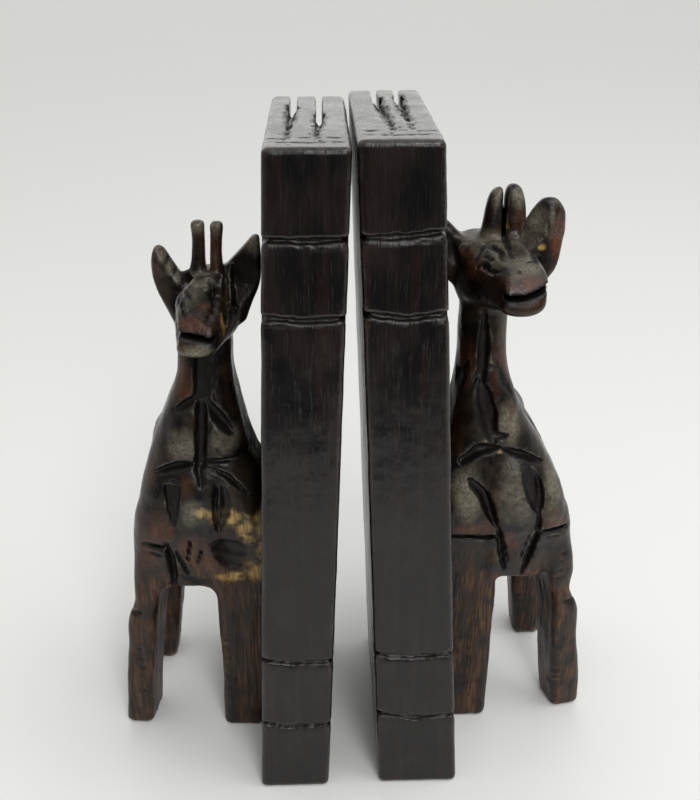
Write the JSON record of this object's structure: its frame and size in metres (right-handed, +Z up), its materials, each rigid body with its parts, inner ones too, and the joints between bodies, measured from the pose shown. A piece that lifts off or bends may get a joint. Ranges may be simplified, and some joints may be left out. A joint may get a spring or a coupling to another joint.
{
  "type": "giraffe bookends",
  "caption": "Carved wooden bookends: a standing giraffe beside an upright book-shaped block on each side, leaning together to hold a row of books.",
  "frame": {"origin": "on the floor, under the middle of the pair's footprint, with the pair closed up", "axes": "+Z up, +X from the left bookend to the right one, +Y to the back (the spines and the giraffes' faces look along -Y)"},
  "size_m": [0.1556, 0.088, 0.2015],
  "materials": {
    "book_wood": "black-stained hardwood, satin wax",
    "giraffe_wood": "dark brown stained hardwood, polished, red-brown where worn",
    "dowel_wood": "plain birch dowel, unfinished"
  },
  "bodies": {
    "left_bookend": {"left_book": "book_wood", "left_giraffe": "giraffe_wood", "left_upper_dowel": "dowel_wood", "left_lower_dowel": "dowel_wood"},
    "right_bookend": {"right_book": "book_wood", "right_giraffe": "giraffe_wood", "right_upper_dowel": "dowel_wood", "right_lower_dowel": "dowel_wood"}
  },
  "joints": [
    {"name": "row_slide", "type": "slide", "parent": "left_bookend", "child": "right_bookend", "axis": [1, 0, 0], "range_m": [0, 0.3]}
  ]
}
